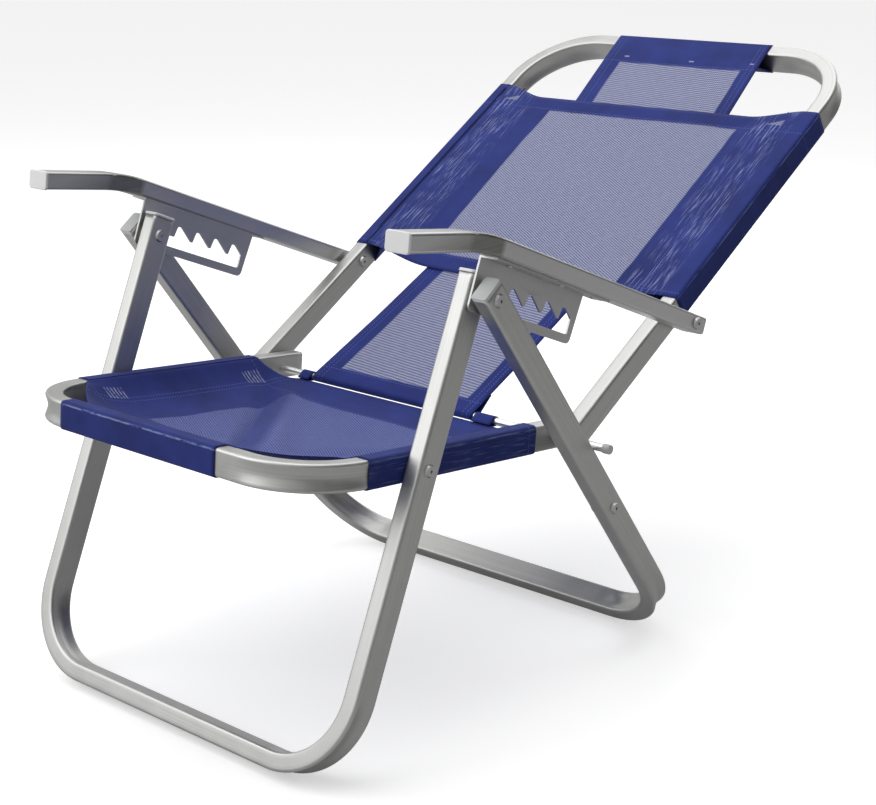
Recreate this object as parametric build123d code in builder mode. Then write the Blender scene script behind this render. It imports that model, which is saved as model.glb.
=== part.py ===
from build123d import *
from math import atan2, cos, degrees, hypot, radians, sin
import os

# Folding beach chair: four bent tube frames, two armrests with reclining racks, and mesh fabric.
# Millimetres and degrees. X runs across the chair, -Y is its front and +Z is up. The origin is on
# the floor, under the middle of the chair as it stands open and fully reclined. Side-view angles
# are measured from +Y towards +Z, and side-view points are (y, z).

# ---------------------------------------------------------------- driving dimensions

# Rectangular aluminium tube, bent with its narrow side in the plane of each frame.
tube_width = 20.0
tube_depth = 30.0
tube_wall = 1.4
tube_round = 3.2

# Centre lines of the frames' side tubes, either side of the middle plane.
seat_half_width = 221.5
front_leg_half_width = 245.5
back_half_width = 246.5
rear_leg_half_width = 275.0
arm_half_width = 276.5

# Bend radii of the tube's centre line.
leg_bend = 88.0
seat_bend = 80.0
back_bend = 96.0
arm_bend = 230.0

# Side view: where the legs cross, and how the frames lie.
front_foot_y = -489.5
leg_pivot = (front_foot_y + 218.0, 475.5)
front_leg_angle = -114.64
rear_leg_angle = -54.67
front_leg_length = 507.4
rear_leg_length = 563.7
front_leg_top = 21.5
rear_leg_top = 14.5

seat_pivot_down_leg = 180.5
seat_angle = -6.76
seat_front = 142.7
hinge_pivot = (front_foot_y + 381.5, 280.6)
seat_rear = 271.0

back_angle = 30.45
back_length = 689.0
back_foot = 6.0
arm_pivot_up_back = 203.3
link_pivot_down_leg = 337.0

arm_rear_angle = -23.36
arm_front_angle = -8.81
arm_bend_from_pivot = 394.3
arm_front_length = 111.5
arm_tail = 16.0

# Pins, washers and rivets.
pivot_radius = 4.0
running_gap = 0.06
fixed_gap = 0.05
washer_radius = 9.0
side_gap = 0.25
head_height = 2.6
head_taper = 28.0
rivet_recess = 1.7
recess_depth = 1.6
bolt_head_radius = 7.5
rivet_head_radius = 7.0
hinge_bar_radius = 4.5
hinge_bar_half_length = 300.0
bar_cap_wall = 0.9
bar_cap_length = 7.0
bar_cap_end = 2.0
bar_cap_round = 1.5
spigot_play = 0.1

# Reclining rack: a plate under each arm, with its notches along the arm's rear run.
rack_plate = 2.4
rack_inner_x = 258.9
rack_flange = 24.0
notch_count = 4
notch_pitch = 30.3
first_notch = 46.0
notch_top = 19.1
tooth_tip = 5.6
slot_bottom = -7.15
slot_front = -9.0
slot_rear = 153.0
rack_front = -16.0
rack_rear = 160.5
rack_bottom = -16.7
rack_corner = 7.0
rack_tail = 24.0
rack_lean = 4.0
flange_thickness = 2.0
rack_rivet_radius = 3.6
rack_rivet_height = 1.4
rack_rivet_first = 16.0
rack_rivet_last = rack_rear + 6.0
rack_rivet_x = rack_inner_x + rack_flange / 2 + 2.0
notch_lead = 2.8
notch_seat = 2.6
notch_back = 22.0
tooth_half_width = 5.5
slot_round = 2.2
tooth_round = 1.2

# Stay links between the hinge bar and the rear legs.
link_inner_x = 259.2
link_thickness = 3.0
link_eye = 10.0

# Fabric.
cloth = 1.4
cloth_gap = 0.4
relief_gap = 1.0
panel_thickness = 2.0
back_lift = 9.0
seat_lift = -3.0
band_lift = -1.0
panel_sleeve_start = 222.0
panel_sleeve_end = 568.0
panel_bottom = 208.0
panel_top = 552.0
panel_dip_half_width = 142.0
panel_foot_half_width = 165.0
band_half_width = 130.0
band_bottom = 9.0
seat_front_sleeve = 132.0
seat_side_sleeve = 62.0
seat_sleeve_rear = 196.0
seat_cloth_rear = 231.0


# ---------------------------------------------------------------- shared geometry


def along(point, angle, distance):
    """Return the side-view point that lies a distance from another, at an angle."""
    return (point[0] + distance * cos(radians(angle)), point[1] + distance * sin(radians(angle)))


def frame_plane(point, angle, x=0.0):
    """Plane of a bent frame: its x is the chair's X and its y runs from the point at the angle."""
    normal = (0, -sin(radians(angle)), cos(radians(angle)))
    return Plane(origin=(x, point[0], point[1]), x_dir=(1, 0, 0), z_dir=normal)


def end_plane(point, angle, x):
    """Plane square to a tube at its end, facing out of it at the angle."""
    outward = (0, cos(radians(angle)), sin(radians(angle)))
    return Plane(origin=(x, point[0], point[1]), x_dir=(1, 0, 0), z_dir=outward)


seat_pivot = along(leg_pivot, front_leg_angle, seat_pivot_down_leg)
link_pivot = along(leg_pivot, rear_leg_angle, link_pivot_down_leg)
arm_pivot = along(hinge_pivot, back_angle, arm_pivot_up_back)
arm_bend_point = along(arm_pivot, arm_rear_angle + 180, arm_bend_from_pivot)
arm_front_end = along(arm_bend_point, arm_front_angle + 180, arm_front_length)
arm_rear_end = along(arm_pivot, arm_rear_angle, arm_tail)

# Height of the arm's underside above the leg bolt, square to the arm.
bolt_to_pivot = (arm_pivot[0] - leg_pivot[0], arm_pivot[1] - leg_pivot[1])
arm_up = (-sin(radians(arm_rear_angle)), cos(radians(arm_rear_angle)))
rack_drop = bolt_to_pivot[0] * arm_up[0] + bolt_to_pivot[1] * arm_up[1] - tube_width / 2

front_leg_plane = frame_plane(leg_pivot, front_leg_angle)
rear_leg_plane = frame_plane(leg_pivot, rear_leg_angle)
seat_plane = frame_plane(seat_pivot, seat_angle)
back_plane = frame_plane(hinge_pivot, back_angle)


def tube_profile(width, depth):
    """Hollow rectangular section with rounded corners."""
    RectangleRounded(width, depth, tube_round)
    inner_round = tube_round - tube_wall
    RectangleRounded(width - 2 * tube_wall, depth - 2 * tube_wall, inner_round, mode=Mode.SUBTRACT)


def bent_frame(plane, half_width, near_end, far_end, bend_radius):
    """Sweep the tube round a U: two side tubes, and the bar across their far end."""
    with BuildLine(plane) as route:
        FilletPolyline(
            (-half_width, near_end),
            (-half_width, far_end),
            (half_width, far_end),
            (half_width, near_end),
            radius=bend_radius,
        )
    with BuildSketch(Plane(origin=route.line @ 0, x_dir=(1, 0, 0), z_dir=route.line % 0)) as section:
        tube_profile(tube_width, tube_depth)
    sweep(section.sketch, path=route.line)


def bore_across(point, radius):
    """Drill along X at a side-view point, through both sides of the chair."""
    with BuildSketch(Plane.YZ) as outline:
        with Locations(point):
            Circle(radius)
    extrude(outline.sketch, amount=2 * arm_half_width, both=True, mode=Mode.SUBTRACT)


def pin(point, radius, start, end):
    """Add a round pin along X, from one distance off the middle plane to another."""
    with BuildSketch(Plane.YZ.offset(start)) as outline:
        with Locations(point):
            Circle(radius)
    extrude(outline.sketch, amount=end - start)


def washer(point, outer, inner, start, end):
    """Add a ring along X round a side-view point."""
    with BuildSketch(Plane.YZ.offset(start)) as outline:
        with Locations(point):
            Circle(outer)
            Circle(inner, mode=Mode.SUBTRACT)
    extrude(outline.sketch, amount=end - start)


def rivet_head(point, radius, face, outward):
    """Add a low domed head on a face square to X; outward is 1 or -1."""
    with BuildSketch(Plane.YZ.offset(face)) as outline:
        with Locations(point):
            Circle(radius)
    extrude(outline.sketch, amount=outward * head_height, taper=head_taper)
    with BuildSketch(Plane.YZ.offset(face + outward * head_height)) as recess:
        with Locations(point):
            Circle(rivet_recess)
    extrude(recess.sketch, amount=-outward * recess_depth, mode=Mode.SUBTRACT)


def tube_plug(plane, width, depth, flange, spigot=9.0, edge=1.2, lip=0.0):
    """Add a moulded plug: a flange over the tube's end and a spigot inside it."""
    with BuildSketch(plane) as outline:
        RectangleRounded(width + 2 * lip, depth + 2 * lip, tube_round + lip)
    extrude(outline.sketch, amount=flange)
    fillet(plug_rim(plane, flange), radius=edge)
    with BuildSketch(plane) as outline:
        inset = 2 * tube_wall + spigot_play
        RectangleRounded(width - inset, depth - inset, tube_round - tube_wall)
    extrude(outline.sketch, amount=-spigot)


def plug_rim(plane, flange):
    """Edges round the outer face of a plug's flange."""
    outer_face = plane.offset(flange)
    face = faces(Select.LAST).sort_by(lambda f: abs(outer_face.to_local_coords(f.center()).Z))[0]
    return face.edges()


def cloth_sleeve(plane, width, depth, length):
    """Add a sleeve of cloth round a tube, starting at the plane and running along its normal."""
    gap = 2 * cloth_gap
    with BuildSketch(plane) as outline:
        RectangleRounded(width + gap + 2 * cloth, depth + gap + 2 * cloth, tube_round + cloth_gap + cloth)
        RectangleRounded(width + gap, depth + gap, tube_round + cloth_gap, mode=Mode.SUBTRACT)
    extrude(outline.sketch, amount=length)


def rivet_relief(point, x):
    """Cut a round hole through a sleeve, clear of the rivet and washer that pass through it."""
    with BuildSketch(Plane.YZ.offset(x)) as outline:
        with Locations(point):
            Circle(washer_radius + relief_gap)
    reach = tube_width / 2 + side_gap + head_height + relief_gap
    extrude(outline.sketch, amount=reach, both=True, mode=Mode.SUBTRACT)


# ---------------------------------------------------------------- leg frames

with BuildPart() as front_leg_frame:
    bent_frame(front_leg_plane, front_leg_half_width, -front_leg_top, front_leg_length, leg_bend)
    bore_across(leg_pivot, pivot_radius)
    bore_across(seat_pivot, pivot_radius)

with BuildPart() as front_leg_caps:
    leg_end = along(leg_pivot, front_leg_angle + 180, front_leg_top)
    plug_plane = end_plane(leg_end, front_leg_angle + 180, front_leg_half_width)
    tube_plug(plug_plane, tube_width, tube_depth, flange=3.0, lip=0.8)
    mirror(about=Plane.YZ)

with BuildPart() as rear_leg_frame:
    bent_frame(rear_leg_plane, rear_leg_half_width, -rear_leg_top, rear_leg_length, leg_bend)
    bore_across(leg_pivot, pivot_radius)
    bore_across(link_pivot, pivot_radius)

with BuildPart() as rear_leg_plugs:
    leg_end = along(leg_pivot, rear_leg_angle + 180, rear_leg_top)
    plug_plane = end_plane(leg_end, rear_leg_angle + 180, rear_leg_half_width)
    tube_plug(plug_plane, tube_width, tube_depth, flange=2.0, edge=0.8)
    mirror(about=Plane.YZ)

# ---------------------------------------------------------------- seat and back frames

hinge_hole = hinge_bar_radius + running_gap

with BuildPart() as seat_frame:
    bent_frame(seat_plane, seat_half_width, seat_rear, -seat_front, seat_bend)
    bore_across(seat_pivot, pivot_radius + running_gap)
    bore_across(hinge_pivot, hinge_hole)

with BuildPart() as seat_end_plugs:
    tail_end = along(seat_pivot, seat_angle, seat_rear)
    plug_plane = end_plane(tail_end, seat_angle, seat_half_width)
    tube_plug(plug_plane, tube_width, tube_depth, flange=3.0)
    mirror(about=Plane.YZ)

with BuildPart() as back_frame:
    bent_frame(back_plane, back_half_width, -back_foot, back_length, back_bend)
    bore_across(hinge_pivot, hinge_hole)
    bore_across(arm_pivot, pivot_radius + running_gap)

with BuildPart() as back_end_plugs:
    foot_end = along(hinge_pivot, back_angle + 180, back_foot)
    plug_plane = end_plane(foot_end, back_angle + 180, back_half_width)
    tube_plug(plug_plane, tube_width, tube_depth, flange=6.0, edge=4.5)
    bore_across(hinge_pivot, hinge_hole)
    mirror(about=Plane.YZ)

# ---------------------------------------------------------------- pivots through the frames

front_leg_inner = front_leg_half_width - tube_width / 2
front_leg_outer = front_leg_half_width + tube_width / 2
rear_leg_inner = rear_leg_half_width - tube_width / 2
rear_leg_outer = rear_leg_half_width + tube_width / 2
seat_inner = seat_half_width - tube_width / 2
seat_outer = seat_half_width + tube_width / 2
back_inner = back_half_width - tube_width / 2
back_outer = back_half_width + tube_width / 2
arm_inner = arm_half_width - tube_depth / 2
arm_outer = arm_half_width + tube_depth / 2
rack_outer_x = rack_inner_x + rack_plate

# The leg bolt's inner half, in the front legs. It stops short of the rack's slot.
with BuildPart() as leg_bolts:
    pin(leg_pivot, pivot_radius - fixed_gap, front_leg_inner - head_height, rack_inner_x - side_gap)
    rivet_head(leg_pivot, bolt_head_radius, front_leg_inner, -1)
    mirror(about=Plane.YZ)

with BuildPart() as leg_bolt_washers:
    washer(leg_pivot, washer_radius, pivot_radius, front_leg_outer, rack_inner_x - side_gap)
    mirror(about=Plane.YZ)

# The leg bolt's outer half, in the rear legs, with its head outside.
with BuildPart() as leg_bolt_heads:
    pin(leg_pivot, pivot_radius - fixed_gap, rack_outer_x + side_gap, rear_leg_outer + head_height)
    rivet_head(leg_pivot, bolt_head_radius, rear_leg_outer, 1)
    mirror(about=Plane.YZ)

with BuildPart() as rear_leg_washers:
    washer(leg_pivot, washer_radius, pivot_radius, rack_outer_x + side_gap, rear_leg_inner)
    mirror(about=Plane.YZ)

with BuildPart() as seat_rivets:
    pin(seat_pivot, pivot_radius - fixed_gap, seat_inner - side_gap, front_leg_outer + head_height)
    rivet_head(seat_pivot, rivet_head_radius, front_leg_outer, 1)
    rivet_head(seat_pivot, rivet_head_radius, seat_inner - side_gap, -1)
    mirror(about=Plane.YZ)

with BuildPart() as seat_washers:
    washer(seat_pivot, washer_radius, pivot_radius, seat_outer + side_gap, front_leg_inner)
    mirror(about=Plane.YZ)

with BuildPart() as arm_pivot_rivets:
    pin(arm_pivot, pivot_radius - fixed_gap, back_inner - side_gap, arm_outer + side_gap)
    rivet_head(arm_pivot, bolt_head_radius, arm_outer + side_gap, 1)
    rivet_head(arm_pivot, bolt_head_radius, back_inner - side_gap, -1)
    mirror(about=Plane.YZ)

with BuildPart() as arm_pivot_washers:
    washer(arm_pivot, washer_radius, pivot_radius, back_outer + side_gap, arm_inner - side_gap)
    mirror(about=Plane.YZ)

# ---------------------------------------------------------------- hinge bar and stay links

with BuildPart() as hinge_bar:
    pin(hinge_pivot, hinge_bar_radius, -hinge_bar_half_length, hinge_bar_half_length)

with BuildPart() as hinge_bar_caps:
    cap_start = hinge_bar_half_length - bar_cap_length
    cap_end = hinge_bar_half_length + bar_cap_end
    washer(hinge_pivot, hinge_bar_radius + bar_cap_wall, hinge_bar_radius, cap_start, hinge_bar_half_length)
    pin(hinge_pivot, hinge_bar_radius + bar_cap_wall, hinge_bar_half_length, cap_end)
    rim = edges().filter_by(GeomType.CIRCLE).sort_by(Axis.X)[-1]
    fillet(rim, radius=bar_cap_round)
    mirror(about=Plane.YZ)

with BuildPart() as hinge_spacers:
    washer(hinge_pivot, washer_radius, hinge_bar_radius, seat_outer + side_gap, back_inner - side_gap)
    washer(hinge_pivot, washer_radius, hinge_bar_radius, back_outer + side_gap, link_inner_x - side_gap)
    mirror(about=Plane.YZ)

link_rise = (hinge_pivot[0] - link_pivot[0], hinge_pivot[1] - link_pivot[1])
link_length = hypot(*link_rise)
link_angle = degrees(atan2(link_rise[1], link_rise[0]))
link_middle = ((hinge_pivot[0] + link_pivot[0]) / 2, (hinge_pivot[1] + link_pivot[1]) / 2)


def stay_link(inner_x):
    """Flat bar with a round eye at each end: the upper eye turns on the hinge bar."""
    with BuildSketch(Plane.YZ.offset(inner_x)) as outline:
        with Locations(Location((*link_middle, 0), (0, 0, link_angle))):
            SlotCenterToCenter(link_length, 2 * link_eye)
        with Locations(hinge_pivot):
            Circle(hinge_hole, mode=Mode.SUBTRACT)
        with Locations(link_pivot):
            Circle(pivot_radius, mode=Mode.SUBTRACT)
    extrude(outline.sketch, amount=link_thickness)


with BuildPart() as left_link:
    stay_link(link_inner_x)

with BuildPart() as right_link:
    stay_link(-link_inner_x - link_thickness)

# The lower link pivot is open: this rivet stops short of the link's lower eye.
with BuildPart() as link_rivets:
    link_outer_x = link_inner_x + link_thickness
    pin(link_pivot, pivot_radius - fixed_gap, link_outer_x + side_gap, rear_leg_outer + head_height)
    rivet_head(link_pivot, rivet_head_radius, rear_leg_outer, 1)
    mirror(about=Plane.YZ)

# ---------------------------------------------------------------- armrests


def arm_tube(x):
    """Tube laid flat, bent once where the hand rests, with the rear pivot through its sides."""
    with BuildLine(Plane.YZ.offset(x)) as route:
        FilletPolyline(arm_front_end, arm_bend_point, arm_rear_end, radius=arm_bend)
    with BuildSketch(Plane(origin=route.line @ 0, x_dir=(1, 0, 0), z_dir=route.line % 0)) as section:
        tube_profile(tube_depth, tube_width)
    sweep(section.sketch, path=route.line)
    bore_across(arm_pivot, pivot_radius + running_gap)


def rack_frame(x):
    """Plane of a rack: origin on the leg bolt, x back along the arm, y up towards it, z along +X."""
    direction = (0, cos(radians(arm_rear_angle)), sin(radians(arm_rear_angle)))
    return Plane(origin=(x, leg_pivot[0], leg_pivot[1]), x_dir=direction, z_dir=(1, 0, 0))


def slot_outline(inset):
    """Corners of the rack's slot: a straight channel with slanted notches along its top."""
    corners = [(slot_rear - inset, slot_bottom + inset), (slot_front + inset, slot_bottom + inset)]
    corners.append((slot_front + inset, tooth_tip - inset))
    for i in range(notch_count):
        top = first_notch + i * notch_pitch
        slope_end = min(top + notch_back, slot_rear - inset)
        slope = (notch_top - tooth_tip) / (notch_back - notch_seat)
        fall = (slope_end - top - notch_seat) * slope
        corners.append((top - tooth_half_width + inset, tooth_tip - inset))
        corners.append((top - notch_lead + inset, notch_top - inset))
        corners.append((top + notch_seat, notch_top - inset))
        corners.append((slope_end, notch_top - inset - fall))
    return corners


def height_in_rack(vertex):
    """Height of a vertex above the leg bolt, square to the arm."""
    return rack_frame(0).to_local_coords(vertex.center()).Y


def arm_rack(inner_x, flange_start):
    """Plate hung from the arm, with the notched slot that the leg bolt rests in."""
    with BuildSketch(rack_frame(inner_x)) as plate:
        Polygon(
            (rack_front, rack_drop),
            (rack_front, rack_bottom),
            (rack_rear, rack_bottom),
            (rack_rear + rack_lean, rack_drop),
            align=None,
        )
        lower_corners = plate.vertices().sort_by(height_in_rack)[0:2]
        fillet(lower_corners, radius=rack_corner)
    extrude(plate.sketch, amount=rack_plate)
    with BuildSketch(rack_frame(inner_x)) as outline:
        Polygon(*slot_outline(slot_round), align=None)
        offset(amount=slot_round + tooth_round, kind=Kind.ARC)
        offset(amount=-tooth_round, kind=Kind.ARC)
    extrude(outline.sketch, amount=rack_plate, mode=Mode.SUBTRACT)
    flange_length = rack_rear + rack_tail - rack_front
    with BuildSketch(rack_frame(flange_start)) as outline:
        with Locations((rack_front + flange_length / 2, rack_drop - flange_thickness / 2)):
            Rectangle(flange_length, flange_thickness)
    extrude(outline.sketch, amount=rack_flange)


def rack_rivet_row(x):
    """Blind rivets that hold the rack's flange up against the underside of the arm."""
    for place in (rack_rivet_first, first_notch + 2 * notch_pitch, rack_rivet_last):
        under = along(leg_pivot, arm_rear_angle, place)
        head = along(under, arm_rear_angle + 90, rack_drop - flange_thickness)
        with BuildSketch(end_plane(head, arm_rear_angle - 90, x)) as outline:
            Circle(rack_rivet_radius)
        extrude(outline.sketch, amount=rack_rivet_height, taper=head_taper)


arm_tubes = {}
for side_name, side in (("left", 1), ("right", -1)):
    with BuildPart() as tube:
        arm_tube(side * arm_half_width)
    arm_tubes[side_name + "_arm_tube"] = tube

    with BuildPart() as cap:
        cap_plane = end_plane(arm_front_end, arm_front_angle + 180, side * arm_half_width)
        tube_plug(cap_plane, tube_depth, tube_width, flange=3.0, lip=0.6)
    arm_tubes[side_name + "_arm_cap"] = cap

    with BuildPart() as plug:
        plug_plane = end_plane(arm_rear_end, arm_rear_angle, side * arm_half_width)
        tube_plug(plug_plane, tube_depth, tube_width, flange=2.0, spigot=8.0, edge=0.8)
    arm_tubes[side_name + "_arm_end_plug"] = plug

    with BuildPart() as rack:
        if side > 0:
            arm_rack(rack_inner_x, rack_inner_x)
        else:
            arm_rack(-rack_outer_x, -rack_inner_x - rack_flange)
    arm_tubes[side_name + "_rack"] = rack

    with BuildPart() as rivets:
        rack_rivet_row(side * rack_rivet_x)
    arm_tubes[side_name + "_rack_rivets"] = rivets

# ---------------------------------------------------------------- fabric


def sheet(plane, lift, corners):
    """Add a flat sheet of cloth with the given outline, its middle lifted off a frame's plane."""
    with BuildSketch(plane.offset(lift - panel_thickness / 2)) as outline:
        Polygon(*corners, align=None)
    extrude(outline.sketch, amount=panel_thickness)


sleeve_wall = tube_width / 2 + cloth_gap + cloth / 2

# Seat: a sheet with chamfered front corners, sleeved on the front bar and both side tubes.
with BuildPart() as seat_panel:
    seat_edge = seat_half_width - sleeve_wall
    seat_front_edge = -seat_front + sleeve_wall
    seat_corner = -seat_side_sleeve
    sheet(seat_plane, seat_lift, [
        (-seat_front_sleeve, seat_front_edge),
        (seat_front_sleeve, seat_front_edge),
        (seat_edge, seat_corner),
        (seat_edge, seat_cloth_rear),
        (-seat_edge, seat_cloth_rear),
        (-seat_edge, seat_corner),
    ])
    front_bar_plane = Plane(
        origin=seat_plane.from_local_coords(Vector(-seat_front_sleeve, -seat_front, 0)),
        x_dir=seat_plane.y_dir, z_dir=(1, 0, 0))
    cloth_sleeve(front_bar_plane, tube_width, tube_depth, 2 * seat_front_sleeve)
    for side in (-1, 1):
        start = along(seat_pivot, seat_angle, seat_corner)
        cloth_sleeve(end_plane(start, seat_angle, side * seat_half_width), tube_width, tube_depth,
                     seat_sleeve_rear - seat_corner)
        rivet_relief(seat_pivot, side * seat_half_width)

# Back: a sheet across the back frame, sleeved on its side tubes above the arm pivots.
with BuildPart() as back_panel:
    back_edge = back_half_width - sleeve_wall
    sheet(back_plane, back_lift, [
        (-back_edge, panel_sleeve_end),
        (-panel_dip_half_width, panel_top),
        (panel_dip_half_width, panel_top),
        (back_edge, panel_sleeve_end),
        (back_edge, panel_sleeve_start),
        (panel_foot_half_width, panel_bottom),
        (-panel_foot_half_width, panel_bottom),
        (-back_edge, panel_sleeve_start),
    ])
    for side in (-1, 1):
        start = along(hinge_pivot, back_angle, panel_sleeve_start)
        cloth_sleeve(end_plane(start, back_angle, side * back_half_width), tube_width, tube_depth,
                     panel_sleeve_end - panel_sleeve_start)

# Headrest band: hung from the top bar, behind the back panel, down to the hinge bar.
with BuildPart() as headrest_band:
    sheet(back_plane, band_lift, [
        (-band_half_width, back_length - sleeve_wall),
        (band_half_width, back_length - sleeve_wall),
        (band_half_width, band_bottom),
        (-band_half_width, band_bottom),
    ])
    top_bar_plane = Plane(
        origin=back_plane.from_local_coords(Vector(-band_half_width, back_length, 0)),
        x_dir=back_plane.y_dir, z_dir=(1, 0, 0))
    cloth_sleeve(top_bar_plane, tube_width, tube_depth, 2 * band_half_width)

# ---------------------------------------------------------------- export

nodes = {
    "front_leg_frame": front_leg_frame,
    "front_leg_caps": front_leg_caps,
    "rear_leg_frame": rear_leg_frame,
    "rear_leg_plugs": rear_leg_plugs,
    "seat_frame": seat_frame,
    "seat_end_plugs": seat_end_plugs,
    "back_frame": back_frame,
    "back_end_plugs": back_end_plugs,
    "leg_bolts": leg_bolts,
    "leg_bolt_washers": leg_bolt_washers,
    "leg_bolt_heads": leg_bolt_heads,
    "rear_leg_washers": rear_leg_washers,
    "seat_rivets": seat_rivets,
    "seat_washers": seat_washers,
    "arm_pivot_rivets": arm_pivot_rivets,
    "arm_pivot_washers": arm_pivot_washers,
    "hinge_bar": hinge_bar,
    "hinge_bar_caps": hinge_bar_caps,
    "hinge_spacers": hinge_spacers,
    "left_link": left_link,
    "right_link": right_link,
    "link_rivets": link_rivets,
    "seat_panel": seat_panel,
    "back_panel": back_panel,
    "headrest_band": headrest_band,
}
nodes.update(arm_tubes)

os.makedirs("parts", exist_ok=True)
for name, piece in nodes.items():
    piece.part.label = name
    export_step(piece.part, "parts/" + name + ".step")
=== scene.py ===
import math

import bmesh
import bpy
import numpy as np
from mathutils import Matrix, Vector


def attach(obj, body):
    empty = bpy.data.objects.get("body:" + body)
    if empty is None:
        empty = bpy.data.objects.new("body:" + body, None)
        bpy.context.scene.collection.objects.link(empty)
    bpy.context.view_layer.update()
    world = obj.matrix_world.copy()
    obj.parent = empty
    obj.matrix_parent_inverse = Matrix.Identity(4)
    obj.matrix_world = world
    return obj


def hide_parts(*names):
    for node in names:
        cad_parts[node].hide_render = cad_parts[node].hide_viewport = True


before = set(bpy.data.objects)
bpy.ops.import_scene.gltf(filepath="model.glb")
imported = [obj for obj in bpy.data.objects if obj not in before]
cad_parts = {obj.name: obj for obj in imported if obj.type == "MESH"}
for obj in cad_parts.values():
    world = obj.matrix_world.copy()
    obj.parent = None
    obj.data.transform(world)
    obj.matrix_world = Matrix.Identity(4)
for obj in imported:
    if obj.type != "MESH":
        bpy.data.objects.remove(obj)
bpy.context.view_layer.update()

MM = 0.001

# ---------------------------------------------------------------- the chair's frame, in metres
# Side-view points are (y, z) and side-view angles run from +Y towards +Z, as in the CAD source.

TUBE_WIDTH = 20 * MM
TUBE_DEPTH = 30 * MM
TUBE_ROUND = 3.2 * MM
SEAT_HALF = 221.5 * MM
FRONT_LEG_HALF = 245.5 * MM
BACK_HALF = 246.5 * MM
REAR_LEG_HALF = 275.0 * MM
LEG_BEND = 88 * MM
SEAT_BEND = 80 * MM
BACK_BEND = 96 * MM

# Each U's open ends and the middle of its cross tube, along its plane from its pivot.
FRONT_LEG_ENDS, FRONT_LEG_CROSS = -21.5 * MM, 507.4 * MM
REAR_LEG_ENDS, REAR_LEG_CROSS = -14.5 * MM, 563.7 * MM
SEAT_ENDS, SEAT_CROSS = 271.0 * MM, -142.7 * MM
BACK_ENDS, BACK_CROSS = -6.0 * MM, 689.0 * MM

FRONT_FOOT_Y = -489.5 * MM
LEG_PIVOT = (FRONT_FOOT_Y + 218.0 * MM, 475.5 * MM)
HINGE_PIVOT = (FRONT_FOOT_Y + 381.5 * MM, 280.6 * MM)
SEAT_PIVOT_REACH = 180.5 * MM
FRONT_LEG_ANGLE = -114.64
REAR_LEG_ANGLE = -54.67
SEAT_ANGLE = -6.76
BACK_ANGLE = 30.45


def along(point, angle, distance):
    """The side-view point a distance from another, at an angle in degrees."""
    a = math.radians(angle)
    return (point[0] + distance * math.cos(a), point[1] + distance * math.sin(a))


class Plane:
    """A frame's plane: local x is the chair's X, y runs along the side-view angle, z is square to it."""

    def __init__(self, point, angle):
        a = math.radians(angle)
        self.origin = np.array([0.0, point[0], point[1]])
        self.x_dir = np.array([1.0, 0.0, 0.0])
        self.y_dir = np.array([0.0, math.cos(a), math.sin(a)])
        self.z_dir = np.array([0.0, -math.sin(a), math.cos(a)])

    def point(self, x, y, z):
        place = self.origin
        for distance, direction in ((x, self.x_dir), (y, self.y_dir), (z, self.z_dir)):
            place = place + np.asarray(distance, float)[..., None] * direction
        return place


FRONT_LEG_PLANE = Plane(LEG_PIVOT, FRONT_LEG_ANGLE)
REAR_LEG_PLANE = Plane(LEG_PIVOT, REAR_LEG_ANGLE)
SEAT_PLANE = Plane(along(LEG_PIVOT, FRONT_LEG_ANGLE, SEAT_PIVOT_REACH), SEAT_ANGLE)
BACK_PLANE = Plane(HINGE_PIVOT, BACK_ANGLE)

# ---------------------------------------------------------------- node trees


def rgb(r, g, b):
    return (r, g, b, 1.0)


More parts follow.
